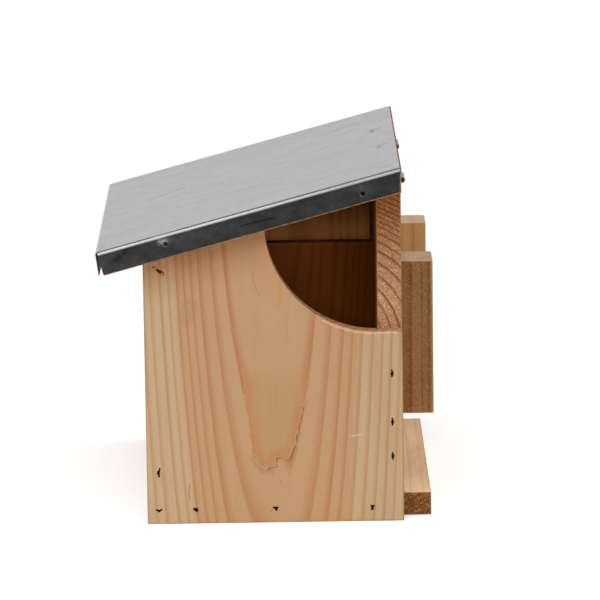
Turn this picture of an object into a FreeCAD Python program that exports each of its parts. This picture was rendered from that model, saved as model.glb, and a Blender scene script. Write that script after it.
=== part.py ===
import FreeCAD, Part
import math
import os

V = FreeCAD.Vector

# Squirrel feeder box, in millimetres. X runs from the low front to the hinged rear,
# Y runs across from the opening side to the closed side, and Z is up. The origin is
# the middle of the underside that the box stands on.

# Box
box_depth = 220.0
box_width = 330.0
front_height = 228.0
roof_slope = 15.0
side_thickness = 15.0
front_thickness = 20.0
back_thickness = 21.0
floor_thickness = 20.0
edge_ease = 0.8

# Quarter-round side opening
opening_radius = 95.5
opening_sill = 166.0

# Divider between the two compartments
divider_thickness = 15.0
divider_drop = 13.5

# Battens and ledge that hold the box off the trunk
batten_width = 42.0
batten_projection = 28.0
batten_bottom = 82.0
batten_length = 135.0
batten_inset = 75.0
batten_ease = 2.5
ledge_projection = 24.0
ledge_thickness = 20.0
ledge_inset = 20.0

# Holes for the two screws that fasten the box to a trunk, post or wall
mount_hole_radius = 3.25
mount_hole_height = 150.0

# Lid board
lid_thickness = 20.0
front_overhang = 33.5
side_overhang = 9.0

# Folded roof sheet
sheet_thickness = 0.8
sheet_gap = 0.2
front_gap = 1.6
bend_radius = 2.0
flange_height = 19.8
front_flare = 7.0
sheet_rear_setback = 1.3
flange_corner_radius = 3.0

# Butt hinges
hinge_length = 30.0
hinge_inset = 76.0
hinge_drop = 1.0
leaf_width = 12.0
leaf_thickness = 1.0
knuckle_radius = 2.4
knuckle_gap = 0.3
pin_radius = 1.1
pin_clearance = 0.05
pin_recess = 0.8
hinge_screw_spacing = 17.0
hinge_screw_offset = 8.7

# Fasteners
fit = 0.05
nail_radius = 0.9
nail_head_radius = 1.6
nail_head_thickness = 1.0
nail_length = 40.0
nail_sink = 0.6
nail_point = 3.0
staple_crown = 8.5
staple_wire = 1.4
staple_leg = 28.0
staple_sink = 0.8
staple_tilt = 33.0
screw_radius = 2.0
screw_head_radius = 4.0
screw_length = 42.0
hinge_screw_radius = 1.2
hinge_screw_head_radius = 2.3
hinge_screw_length = 15.0
roof_nail_radius = 1.1
roof_nail_head_radius = 2.2
roof_nail_head_thickness = 0.8
roof_nail_length = 20.0

# Where the fasteners go, measured from the nearest edge of the box or of the lid
nail_from_face = 10.0
low_nail_height = 12.0
floor_nail_setbacks = (42.0, 110.0, 193.0)
front_nail_height = 45.0
back_nail_heights = (57.0, 87.0, 129.0)
closed_back_nail_drops = (87.0, 25.0)
staple_setback = 13.5
staple_drop = 10.8
divider_nail_heights = (60.0, 170.0)
batten_screw_inset = 22.0
ledge_nail_inset = 60.0
roof_nail_places = ((60.0, 8.5), (232.0, 12.6))

half_depth = box_depth / 2
half_width = box_width / 2
inner_half_width = half_width - side_thickness
rise = math.tan(math.radians(roof_slope))
rear_height = front_height + box_depth * rise
front_inner_x = -half_depth + front_thickness
back_inner_x = half_depth - back_thickness
lid_half_width = half_width + side_overhang
sheet_half_width = lid_half_width + sheet_gap + sheet_thickness
pivot_x = half_depth + knuckle_radius + knuckle_gap
pivot_z = rear_height - hinge_drop
batten_y = half_width - batten_inset
hinge_y = half_width - hinge_inset
divider_top = front_height - divider_drop
lid_front_x = -half_depth - front_overhang * math.cos(math.radians(roof_slope))
lid_front_z = front_height - front_overhang * math.sin(math.radians(roof_slope))
# Where the bend of the sheet's front fold has its centre, up the slope from the lid's front end
fold_x = bend_radius - front_gap - sheet_thickness
# Stock that is longer than the lid before its rear end is cut plumb
lid_stock_length = (half_depth - lid_front_x) / math.cos(math.radians(roof_slope)) + 2 * lid_thickness


def block(x0, x1, y0, y1, z0, z1):
    """A plain block between two corners."""
    return Part.makeBox(x1 - x0, y1 - y0, z1 - z0, V(x0, y0, z0))


def prism(outline, y0, y1):
    """A side outline of (x, z) points, extruded from y0 to y1."""
    points = [V(x, y0, z) for x, z in outline]
    face = Part.Face(Part.makePolygon(points + points[:1]))
    return face.extrude(V(0, y1 - y0, 0))


def one_solid(shape):
    """The single solid of a cut or fused shape, without seams in its flat faces."""
    return shape.removeSplitter().Solids[0]


def eased(shape, radius=edge_ease):
    """A board with every edge rounded over."""
    return shape.makeFillet(radius, shape.Edges)


def along(edge, direction):
    """Whether a straight edge runs along a direction."""
    run = edge.valueAt(edge.LastParameter) - edge.valueAt(edge.FirstParameter)
    return run.Length > 0 and abs(run.normalize().dot(direction)) > 0.999


def aimed(shape, place, direction):
    """A fastener drawn along +Z from the origin, moved to a place and turned to a direction."""
    moved = shape.copy()
    moved.Placement = FreeCAD.Placement(place, FreeCAD.Rotation(V(0, 0, 1), direction))
    return moved


def on_lid(shape):
    """A shape drawn on the lid's underside, X up the slope from the front end, put in place."""
    turn = FreeCAD.Rotation(V(0, 1, 0), -roof_slope)
    placed = shape.copy()
    placed.Placement = FreeCAD.Placement(V(lid_front_x, 0, lid_front_z), turn)
    return placed


def roof_height(x):
    """Height of the lid's underside over a place along X."""
    return front_height + (x + half_depth) * rise


# Boards of the box


def side_outline():
    return [
        (-half_depth, 0),
        (half_depth, 0),
        (half_depth, rear_height),
        (-half_depth, front_height),
    ]


def closed_side_panel():
    return eased(prism(side_outline(), inner_half_width, half_width))


def opening_side_panel():
    """The panel whose upper rear quarter is cut away in a round, centred on the back board's face."""
    panel = prism(side_outline(), -half_width, -inner_half_width)
    outside = -half_width - side_thickness
    inside = -inner_half_width + side_thickness
    centre = V(back_inner_x, outside, opening_sill + opening_radius)
    round_cut = Part.makeCylinder(opening_radius, inside - outside, centre, V(0, 1, 0))
    above = rear_height + side_thickness
    rear_cut = block(back_inner_x, box_depth, outside, inside, opening_sill, above)
    return eased(one_solid(panel.cut([round_cut, rear_cut])))


def front_board():
    outline = [
        (-half_depth, 0),
        (front_inner_x, 0),
        (front_inner_x, roof_height(front_inner_x)),
        (-half_depth, front_height),
    ]
    return eased(prism(outline, -inner_half_width, inner_half_width))


def back_board():
    outline = [
        (back_inner_x, 0),
        (half_depth, 0),
        (half_depth, rear_height),
        (back_inner_x, roof_height(back_inner_x)),
    ]
    return eased(prism(outline, -inner_half_width, inner_half_width))


def floor_board():
    return eased(block(front_inner_x, back_inner_x, -inner_half_width, inner_half_width, 0, floor_thickness))


def divider_board():
    half = divider_thickness / 2
    return eased(block(front_inner_x, back_inner_x, -half, half, floor_thickness, divider_top))


def rear_batten(side):
    """A vertical batten whose long outer edges are well rounded."""
    middle = side * batten_y
    y0 = middle - batten_width / 2
    outer_x = half_depth + batten_projection
    blank = block(half_depth, outer_x, y0, y0 + batten_width, batten_bottom, batten_bottom + batten_length)
    corners = [e for e in blank.Edges if along(e, V(0, 0, 1)) and e.CenterOfMass.x > half_depth + edge_ease]
    rounded = blank.makeFillet(batten_ease, corners)
    ends = [e for e in rounded.Edges if not along(e, V(0, 0, 1))]
    return rounded.makeFillet(edge_ease, ends)


def rear_ledge_board():
    half = half_width - ledge_inset
    return eased(block(half_depth, half_depth + ledge_projection, -half, half, 0, ledge_thickness))


# Lid


def rear_waste(setback):
    """What is cut off behind a plumb plane a setback in front of the box's back."""
    x = half_depth - setback
    return block(x, x + box_depth, -box_width, box_width, 0, rear_height + box_depth)


def lid_board():
    """The lid: a board with a square front end and a plumb rear end, rounded under the sheet's bends."""
    stock = on_lid(block(0, lid_stock_length, -lid_half_width, lid_half_width, 0, lid_thickness))
    board = one_solid(stock.cut(rear_waste(0)))
    up = FreeCAD.Rotation(V(0, 1, 0), -roof_slope).multVec(V(0, 0, 1))
    start = V(lid_front_x, 0, lid_front_z)
    bent = []
    for edge in board.Edges:
        middle = edge.CenterOfMass
        at_rear = middle.x > half_depth - edge_ease
        if (middle - start).dot(up) > lid_thickness - edge_ease and not at_rear:
            bent.append(edge)
    board = board.makeFillet(bend_radius, bent)
    under = [e for e in board.Edges if abs((e.CenterOfMass - start).dot(up)) < edge_ease / 2]
    return board.makeFillet(edge_ease, under)


def bend(centre_a, centre_b, radius, start, end):
    """An arc in the X-Z plane from one angle to another, in degrees."""
    angles = (start, (start + end) / 2, end)
    points = []
    for angle in angles:
        turn = math.radians(angle)
        points.append(V(centre_a + radius * math.cos(turn), 0, centre_b + radius * math.sin(turn)))
    return Part.Arc(*points).toShape()


def closed_strip(outer, inner):
    """A face between two runs of edges, drawn the same way and joined at their ends."""
    ends = []
    for number in (0, -1):
        a = Part.Wire(outer).OrderedVertexes[number].Point
        b = Part.Wire(inner).OrderedVertexes[number].Point
        ends.append(Part.LineSegment(a, b).toShape())
    edges = Part.sortEdges(outer + inner + ends)[0]
    return Part.Face(Part.Wire(edges))


def tray_run(half, top, radius):
    """One skin of the tray's cross-section, from one flange's lower edge over to the other's."""
    low = lid_thickness + sheet_thickness - flange_height
    bend_z = top - radius
    inset = half - radius
    return [
        Part.LineSegment(V(-half, 0, low), V(-half, 0, bend_z)).toShape(),
        bend(-inset, bend_z, radius, 180, 90),
        Part.LineSegment(V(-inset, 0, top), V(inset, 0, top)).toShape(),
        bend(inset, bend_z, radius, 90, 0),
        Part.LineSegment(V(half, 0, bend_z), V(half, 0, low)).toShape(),
    ]


def front_run(offset):
    """One skin of the front fold, from the top of the sheet down its flared flange."""
    fold_z = lid_thickness + sheet_thickness - bend_radius
    radius = bend_radius - offset
    last = 180 - front_flare
    turn = math.radians(last)
    start = V(fold_x + radius * math.cos(turn), 0, fold_z + radius * math.sin(turn))
    length = flange_height - bend_radius
    end = start + V(-math.sin(turn), 0, math.cos(turn)) * length
    return [bend(fold_x, fold_z, radius, 90, last), Part.LineSegment(start, end).toShape()]


def roof_sheet():
    """One sheet folded down at both sides and, a little open, at the front."""
    top = lid_thickness + sheet_thickness
    section = closed_strip(
        tray_run(sheet_half_width, top, bend_radius),
        tray_run(sheet_half_width - sheet_thickness, lid_thickness, bend_radius - sheet_thickness),
    )
    section.rotate(V(0, 0, 0), V(0, 0, 1), 90)
    section.translate(V(fold_x, 0, 0))
    tray = section.extrude(V(lid_stock_length, 0, 0))
    half = sheet_half_width - bend_radius
    fold = closed_strip(front_run(0), front_run(sheet_thickness))
    fold.translate(V(0, -half, 0))
    front = fold.extrude(V(0, 2 * half, 0))
    sheet = on_lid(one_solid(tray.fuse(front)))
    sheet = one_solid(sheet.cut(rear_waste(sheet_rear_setback)))
    rear_x = half_depth - sheet_rear_setback
    corners = []
    for edge in sheet.Edges:
        middle = edge.CenterOfMass
        below = middle.z < roof_height(middle.x) + lid_thickness / 2
        if along(edge, V(0, 1, 0)) and middle.x > rear_x - sheet_thickness and below:
            corners.append(edge)
    return sheet.makeFillet(flange_corner_radius, corners)


# Fasteners and their holes, each drawn along +Z from the surface that it is driven into


def headed_pin(radius, head_radius, head_top, head_thickness, length, point, grow=0.0):
    """A round nail: a flat head, a shank and a point, with room all round when it is a hole."""
    head = Part.makeCylinder(head_radius + grow, head_thickness, V(0, 0, head_top))
    shank = Part.makeCylinder(radius + grow, length - point, V(0, 0, head_top))
    tip = Part.makeCone(radius + grow, grow + fit, point + grow, V(0, 0, head_top + length - point))
    return one_solid(head.fuse([shank, tip]))


def nail(grow=0.0):
    thickness = nail_head_thickness
    return headed_pin(nail_radius, nail_head_radius, nail_sink, thickness, nail_length, nail_point, grow)


def nail_hole():
    """The hole that a sunk nail leaves, open above its head."""
    hole = nail(fit)
    mouth = Part.makeCylinder(nail_head_radius + fit, nail_sink + 2 * edge_ease, V(0, 0, -edge_ease))
    return one_solid(hole.fuse(mouth))


def roof_nail(grow=0.0):
    """A flat-headed nail whose head stays on the sheet."""
    return headed_pin(
        roof_nail_radius,
        roof_nail_head_radius,
        -roof_nail_head_thickness,
        roof_nail_head_thickness - grow,
        roof_nail_length,
        nail_point,
        grow,
    )


def screw(radius, head_radius, length, grow):
    """A countersunk screw, flush with the surface, with a slot unless it is a hole."""
    depth = head_radius - radius
    head = Part.makeCone(head_radius + grow, radius + grow, depth)
    shank = Part.makeCylinder(radius + grow, length - nail_point)
    tip = Part.makeCone(radius + grow, grow + fit, nail_point + grow, V(0, 0, length - nail_point))
    whole = head.fuse([shank, tip])
    if grow:
        mouth = Part.makeCylinder(head_radius + grow, edge_ease, V(0, 0, -edge_ease))
        return one_solid(whole.fuse(mouth))
    slot_width = head_radius / 4
    slot_length = 3 * head_radius
    slot = Part.makeBox(slot_length, slot_width, depth / 2, V(-slot_length / 2, -slot_width / 2, 0))
    return one_solid(whole.cut(slot))


def batten_screw(grow=0.0):
    return screw(screw_radius, screw_head_radius, screw_length, grow)


def hinge_screw(grow=0.0):
    return screw(hinge_screw_radius, hinge_screw_head_radius, hinge_screw_length, grow)


def staple(grow=0.0):
    """A wire staple: a straight crown, sunk below the surface, and two square legs."""
    half = staple_crown / 2 + grow
    wire = staple_wire / 2 + grow
    top = -edge_ease if grow else staple_sink
    crown = block(-half, half, -wire, wire, top, staple_sink + staple_wire)
    legs = []
    for side in (-1, 1):
        inner = side * (staple_crown / 2 - staple_wire - grow)
        x0, x1 = sorted((inner, side * half))
        legs.append(block(x0, x1, -wire, wire, staple_sink, staple_sink + staple_leg + grow))
    return one_solid(crown.fuse(legs))


def side_nail_places(side):
    """Where nails go in through a side panel: along the floor, up the front and up the back."""
    front_x = -half_depth + nail_from_face
    back_x = half_depth - nail_from_face
    spots = [(front_x, low_nail_height), (front_x, front_nail_height)]
    spots += [(-half_depth + setback, low_nail_height) for setback in floor_nail_setbacks]
    spots += [(back_x, height) for height in back_nail_heights]
    if side > 0:
        spots += [(back_x, rear_height - drop) for drop in closed_back_nail_drops]
    return [(V(x, side * half_width, z), V(0, -side, 0)) for x, z in spots]


def divider_nail_places():
    """Where nails go in through the front and back boards into the divider's ends."""
    places = []
    for side in (-1, 1):
        places += [(V(side * half_depth, 0, z), V(-side, 0, 0)) for z in divider_nail_heights]
    return places


def ledge_nail_places():
    half = half_width - ledge_inset - ledge_nail_inset
    x = half_depth + ledge_projection
    return [(V(x, y, ledge_thickness / 2), V(-1, 0, 0)) for y in (-half, 0, half)]


def batten_screw_places():
    """Where screws go in from inside the box through the back board into the battens."""
    places = []
    for side in (-1, 1):
        for z in (batten_bottom + batten_screw_inset, batten_bottom + batten_length - batten_screw_inset):
            places.append((V(back_inner_x, side * batten_y, z), V(1, 0, 0)))
    return places


def staple_places():
    x = -half_depth + staple_setback
    z = roof_height(x) - staple_drop
    return [(V(x, side * half_width, z), V(0, -side, 0)) for side in (-1, 1)]


def staples_in_place(grow=0.0):
    """One tilted staple near the top of the front joint on each side."""
    placed = []
    for place, direction in staple_places():
        tilted = staple(grow)
        tilted.rotate(V(0, 0, 0), V(0, 0, 1), staple_tilt)
        placed += aimed(Part.makeCompound([tilted]), place, direction).Solids
    return placed


def hinge_screw_places(up):
    """Where screws go in through the leaves above (up 1) or below (up -1) the hinge line."""
    places = []
    for side in (-1, 1):
        for step in (-1, 1):
            y = side * hinge_y + step * hinge_screw_spacing / 2
            z = pivot_z + up * hinge_screw_offset
            places.append((V(half_depth + leaf_thickness, y, z), V(-1, 0, 0)))
    return places


def roof_nail_places_on(side):
    """Where nails go in through a side flange of the sheet, on the lid's own slope."""
    top = lid_thickness + sheet_thickness
    return [
        (V(setback - front_gap - sheet_thickness, side * sheet_half_width, top - drop), V(0, -side, 0))
        for setback, drop in roof_nail_places
    ]


def roof_nails_in_place(grow=0.0):
    placed = []
    for place, direction in roof_nail_places_on(-1) + roof_nail_places_on(1):
        flat = Part.makeCompound([aimed(roof_nail(grow), place, direction)])
        placed += on_lid(flat).Solids
    return placed


def put(shape, places):
    """A copy of one fastener or hole at each place."""
    return [aimed(shape, place, direction) for place, direction in places]


# Hinges


def hinge_leaf(side, up):
    """One leaf: two knuckles below the hinge line on the box, or one above it on the lid."""
    y0 = side * hinge_y - hinge_length / 2
    third = hinge_length / 3
    spans = [(third, 2 * third)] if up > 0 else [(0, third), (2 * third, hinge_length)]
    back = half_depth + leaf_thickness
    clear = knuckle_radius + knuckle_gap
    z0, z1 = sorted((pivot_z + up * clear, pivot_z + up * (clear + leaf_width)))
    leaf = block(half_depth, back, y0, y0 + hinge_length, z0, z1)
    for start, end in spans:
        low = y0 + start + (knuckle_gap / 2 if start else 0)
        high = y0 + end - (knuckle_gap / 2 if end < hinge_length else 0)
        z0, z1 = sorted((pivot_z, pivot_z + up * (clear + leaf_thickness)))
        strap = block(half_depth + knuckle_gap, back, low, high, z0, z1)
        knuckle = Part.makeCylinder(knuckle_radius, high - low, V(pivot_x, low, pivot_z), V(0, 1, 0))
        leaf = leaf.fuse([strap, knuckle])
    bore_start = V(pivot_x, y0 - third, pivot_z)
    bore = Part.makeCylinder(pin_radius + pin_clearance, 2 * hinge_length, bore_start, V(0, 1, 0))
    return one_solid(leaf.cut([bore] + put(hinge_screw(fit), hinge_screw_places(up))))


def hinge_pin(side):
    """A plain pin, a little shorter than the barrel, so that its ends lie inside the outer knuckles."""
    length = hinge_length - 2 * pin_recess
    start = V(pivot_x, side * hinge_y - length / 2, pivot_z)
    return Part.makeCylinder(pin_radius, length, start, V(0, 1, 0))


def mount_holes():
    """Clearance holes through the back board and both battens."""
    start = back_inner_x - front_thickness
    length = back_thickness + batten_projection + 2 * front_thickness
    return [
        Part.makeCylinder(mount_hole_radius, length, V(start, side * batten_y, mount_hole_height), V(1, 0, 0))
        for side in (-1, 1)
    ]


def box_holes():
    """Every hole that a fastener of the box, or a screw that holds it up, needs in its boards."""
    nails = side_nail_places(-1) + side_nail_places(1) + divider_nail_places() + ledge_nail_places()
    holes = put(nail_hole(), nails)
    holes += put(batten_screw(fit), batten_screw_places())
    holes += put(hinge_screw(fit), hinge_screw_places(-1))
    return holes + staples_in_place(fit) + mount_holes()


def lid_holes():
    """Every hole that a fastener of the lid needs in its board and sheet."""
    return put(hinge_screw(fit), hinge_screw_places(1)) + roof_nails_in_place(fit)


def drilled(board, holes):
    """A board cut by those holes that reach it."""
    near = [hole for hole in holes if hole.BoundBox.intersect(board.BoundBox)]
    return board.cut(near).Solids[0]


def build():
    """Every named piece of the feeder."""
    boards = {
        "opening_side_panel": opening_side_panel(),
        "closed_side_panel": closed_side_panel(),
        "front_board": front_board(),
        "back_board": back_board(),
        "floor_board": floor_board(),
        "divider_board": divider_board(),
        "rear_batten_opening_side": rear_batten(-1),
        "rear_batten_closed_side": rear_batten(1),
        "rear_ledge_board": rear_ledge_board(),
    }
    holes = box_holes()
    pieces = {name: drilled(board, holes) for name, board in boards.items()}
    holes = lid_holes()
    pieces["lid_board"] = drilled(lid_board(), holes)
    pieces["roof_sheet"] = drilled(roof_sheet(), holes)

    pieces["opening_side_nails"] = Part.makeCompound(put(nail(), side_nail_places(-1)))
    pieces["closed_side_nails"] = Part.makeCompound(put(nail(), side_nail_places(1)))
    pieces["front_joint_staples"] = Part.makeCompound(staples_in_place())
    pieces["divider_nails"] = Part.makeCompound(put(nail(), divider_nail_places()))
    pieces["ledge_nails"] = Part.makeCompound(put(nail(), ledge_nail_places()))
    pieces["batten_screws"] = Part.makeCompound(put(batten_screw(), batten_screw_places()))
    pieces["roof_nails"] = Part.makeCompound(roof_nails_in_place())
    pieces["hinge_box_screws"] = Part.makeCompound(put(hinge_screw(), hinge_screw_places(-1)))
    pieces["hinge_lid_screws"] = Part.makeCompound(put(hinge_screw(), hinge_screw_places(1)))
    for side, name in ((-1, "opening_side"), (1, "closed_side")):
        pieces[name + "_hinge_box_leaf"] = hinge_leaf(side, -1)
        pieces[name + "_hinge_lid_leaf"] = hinge_leaf(side, 1)
        pieces[name + "_hinge_pin"] = hinge_pin(side)
    return pieces


os.makedirs("parts", exist_ok=True)
for name, shape in build().items():
    shape.exportStep("parts/" + name + ".step")
    box = shape.BoundBox
    print(name, len(shape.Solids), "solids", shape.isValid(), round(shape.Volume, 1), "mm3")
    print("   ", [round(v, 2) for v in (box.XMin, box.XMax, box.YMin, box.YMax, box.ZMin, box.ZMax)])
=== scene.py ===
import math
import random

import bmesh
import bpy
from mathutils import Matrix, Vector, noise


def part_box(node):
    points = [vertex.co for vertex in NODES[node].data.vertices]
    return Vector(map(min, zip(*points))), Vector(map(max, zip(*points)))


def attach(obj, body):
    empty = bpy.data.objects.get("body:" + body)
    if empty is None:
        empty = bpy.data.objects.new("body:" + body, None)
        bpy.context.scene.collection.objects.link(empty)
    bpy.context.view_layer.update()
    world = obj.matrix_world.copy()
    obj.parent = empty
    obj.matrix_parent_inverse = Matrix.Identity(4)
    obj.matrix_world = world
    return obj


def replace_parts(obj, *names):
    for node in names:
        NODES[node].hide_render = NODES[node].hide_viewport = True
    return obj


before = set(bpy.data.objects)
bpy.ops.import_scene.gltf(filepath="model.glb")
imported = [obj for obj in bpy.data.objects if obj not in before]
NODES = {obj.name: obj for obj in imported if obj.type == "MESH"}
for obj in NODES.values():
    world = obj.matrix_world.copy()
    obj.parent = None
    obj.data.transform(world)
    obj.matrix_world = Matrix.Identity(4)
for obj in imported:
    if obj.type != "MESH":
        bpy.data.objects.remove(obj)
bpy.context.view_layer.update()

MM = 0.001
X, Y, Z = 0, 1, 2
REARWARD = Vector((1, 0, 0))
CROSSWAYS = Vector((0, 1, 0))
UPWARD = Vector((0, 0, 1))
# The inside of the box: its limits in millimetres on each axis.
ROOM = ((-90.3, 89.3), (-150.3, 150.3), (19.7, 400))
# The lid slopes up to the rear.
SLOPE = math.radians(15)
LID_UP = Vector((-math.sin(SLOPE), 0, math.cos(SLOPE)))
LID_ALONG = Vector((math.cos(SLOPE), 0, math.sin(SLOPE)))


# Camera and lamps


def set_camera():
    """The camera where the photograph was taken, turned by its pitch, yaw and roll."""
    pitch, yaw, roll = math.radians(11.175), math.radians(0.227), math.radians(0.792)
    ahead = Vector((math.sin(yaw) * math.cos(pitch), math.cos(yaw) * math.cos(pitch), -math.sin(pitch)))
    level = Vector((math.cos(yaw), -math.sin(yaw), 0))
    up = level.cross(ahead)
    right = level * math.cos(roll) - up * math.sin(roll)
    top = level * math.sin(roll) + up * math.cos(roll)
    data = bpy.data.cameras.new("camera")
    data.sensor_width = 36
    data.lens = 272.4
    data.clip_end = 50
    camera = bpy.data.objects.new("camera", data)
    turned = Matrix((right, top, -ahead)).transposed().to_4x4()
    camera.matrix_world = Matrix.Translation((0.00819, -3.94977, 0.94193)) @ turned
    bpy.context.scene.collection.objects.link(camera)
    bpy.context.scene.camera = camera


def add_lamp(name, place, aim, size, power):
    """A soft lamp at one place, turned towards another."""
    data = bpy.data.lights.new(name, "AREA")
    data.shape = "RECTANGLE"
    data.size, data.size_y = size
    data.energy = power
    lamp = bpy.data.objects.new(name, data)
    lamp.location = place
    lamp.rotation_euler = (Vector(aim) - Vector(place)).to_track_quat("-Z", "Y").to_euler()
    bpy.context.scene.collection.objects.link(lamp)
    return lamp


# Shader sockets as values


class Wire:
    """One socket of a shader. Arithmetic on it adds Math nodes."""

    def __init__(self, tree, socket=None):
        self.tree = tree
        self.socket = socket

    def node(self, kind, inputs=None, output=0, stops=None, **settings):
        """Any other node: its settings first, then the values or wires of its sockets."""
        made = self.tree.nodes.new("ShaderNode" + kind)
        for name, value in settings.items():
            setattr(made, name, value)
        if stops:
            ramp = made.color_ramp.elements
            while len(ramp) < len(stops):
                ramp.new(0.5)
            for element, (place, colour) in zip(ramp, stops):
                element.position = place
                element.color = (*colour, 1) if isinstance(colour, tuple) else (colour, colour, colour, 1)
        for key, value in (inputs or {}).items():
            if isinstance(value, Wire):
                self.tree.links.new(value.socket, made.inputs[key])
            else:
                made.inputs[key].default_value = value
        return Wire(self.tree, made.outputs[output])

    def maths(self, operation, *values):
        return self.node("Math", dict(enumerate(values)), operation=operation)

    def __add__(self, other):
        return self.maths("ADD", self, other)

    def __sub__(self, other):
        return self.maths("SUBTRACT", self, other)

    def __rsub__(self, other):
        return self.maths("SUBTRACT", other, self)

    def __mul__(self, other):
        return self.maths("MULTIPLY", self, other)

    def __truediv__(self, other):
        return self.maths("DIVIDE", self, other)

    def __pow__(self, other):
        return self.maths("POWER", self, other)

    def __abs__(self):
        return self.maths("ABSOLUTE", self)

    __radd__ = __add__
    __rmul__ = __mul__

    def least(self, other):
        return self.maths("MINIMUM", self, other)

    def most(self, other):
        return self.maths("MAXIMUM", self, other)

    def rise(self, low, high):
        """0 below low, 1 above high, and smooth between; the other way round if low is above high."""
        if low > high:
            return 1 - self.rise(high, low)
        limits = {0: self, 1: low, 2: high, 3: 0.0, 4: 1.0}
        return self.node("MapRange", limits, interpolation_type="SMOOTHSTEP")

    def blend(self, other, share, mode="MIX"):
        """This colour with another laid over it."""
        other = other if isinstance(other, Wire) else (*other, 1)
        return self.node("Mix", {0: share, 6: self, 7: other}, 2, data_type="RGBA", blend_type=mode)

    def between(self, first, second):
        """The colour this far from one colour to another."""
        return self.node("Mix", {0: self, 6: (*first, 1), 7: (*second, 1)}, 2, data_type="RGBA")

    def scaled(self, amount):
        """This colour or vector times a number."""
        return self.node("VectorMath", {0: self, 3: amount}, operation="SCALE")

    def dot(self, direction):
        return self.node("VectorMath", {0: self, 1: direction}, 1, operation="DOT_PRODUCT")

    def parts(self):
        return [self.node("SeparateXYZ", {0: self}, number) for number in range(3)]

    def joined(self, *parts):
        return self.node("CombineXYZ", dict(enumerate(parts)))


def tone(red, green, blue):
    """A colour as it looks on a screen, 0 to 255, as the numbers a shader takes."""
    return tuple(((v / 255 + 0.055) / 1.055) ** 2.4 for v in (red, green, blue))


def new_material(name):
    """A material and the wire that its nodes start from."""
    made = bpy.data.materials.new(name)
    made.use_nodes = True
    made.node_tree.nodes.clear()
    return made, Wire(made.node_tree)


def finish_surface(start, surface, height, **fixed):
    """Closes a material: a principled shader, with a bump whose height is in millimetres."""
    surface["Normal"] = start.node("Bump", {"Height": height, "Distance": MM, "Strength": 1.0})
    surface.update({name.replace("_", " "): value for name, value in fixed.items()})
    shader = start.node("BsdfPrincipled", surface)
    close(start, shader)


def close(start, shader):
    """Gives a material its surface."""
    output = start.tree.nodes.new("ShaderNodeOutputMaterial")
    start.tree.links.new(shader.socket, output.inputs[0])


def spots(place, size, seed, detail=2.0, rough=0.5):
    """Noise whose features are so many millimetres long on each axis."""
    scale = tuple(1000 / length for length in size)
    shift = (seed, seed * 1.7, seed * 2.3)
    moved = place.node("VectorMath", {0: place, 1: scale, 2: shift}, operation="MULTIPLY_ADD")
    return place.node("TexNoise", {"Vector": moved, "Scale": 1.0, "Detail": detail, "Roughness": rough})


def cells(place, size, seed):
    """A random number for each small cell of so many millimetres."""
    moved = place.node("VectorMath", {0: place, 3: 1000 / size}, operation="SCALE")
    moved = moved.node("VectorMath", {0: moved, 1: (seed, seed, seed)}, operation="ADD")
    return place.node("TexVoronoi", {"Vector": moved, "Scale": 1.0}, "Color").parts()[0]


def from_line(flat, points):
    """Distance in millimetres of a place on a face from a line drawn through points."""
    if len(points) == 1:
        return flat.node("VectorMath", {0: flat, 1: (*points[0], 0)}, 1, operation="DISTANCE")
    nearest = None
    for a, b in zip(points, points[1:]):
        run = Vector((b[0] - a[0], b[1] - a[1], 0))
        away = flat.node("VectorMath", {0: flat, 1: (*a, 0)}, operation="SUBTRACT")
        share = away.dot(run / run.length_squared).most(0.0).least(1.0)
        passed = flat.node("VectorMath", {0: run, 3: share}, operation="SCALE")
        distance = flat.node("VectorMath", {0: away, 1: passed}, 1, operation="DISTANCE")
        nearest = nearest.least(distance) if nearest else distance
    return nearest


def painted(colour, flat, marks, ragged, mask):
    """A colour with marks laid over it: each is lines, their reach, softness, tone and strength."""
    for lines, reach, soft, shade, amount in marks:
        nearest = None
        for points in lines:
            distance = from_line(flat, points)
            nearest = nearest.least(distance) if nearest else distance
        nearest = nearest + (ragged - 0.5) * (2 * soft)
        cover = nearest.rise(reach + soft / 2, max(0.0, reach - soft))
        colour = colour.blend(tone(*shade), cover * mask * amount)
    return colour


def tinted(colour, place, tints):
    """A colour multiplied by tones that grow along a direction, from nothing at one distance to full."""
    for direction, none, full, shade in tints:
        colour = colour.blend(tone(*shade), (place.dot(direction) * 1000).rise(none, full), "MULTIPLY")
    return colour


# Timber


def stretched(axis, across, along):
    """The size of a feature that is longer along one axis."""
    size = [across] * 3
    size[axis] = along
    return size


def count_rings(radius, growth):
    """Which yearly ring a radius in millimetres lies in, from measured pairs of radius and number."""
    reach, number = growth[-1]
    ramp = [(r / reach, n / number) for r, n in growth]
    return radius.node("ValToRGB", {0: radius / reach}, stops=ramp) * number


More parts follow.
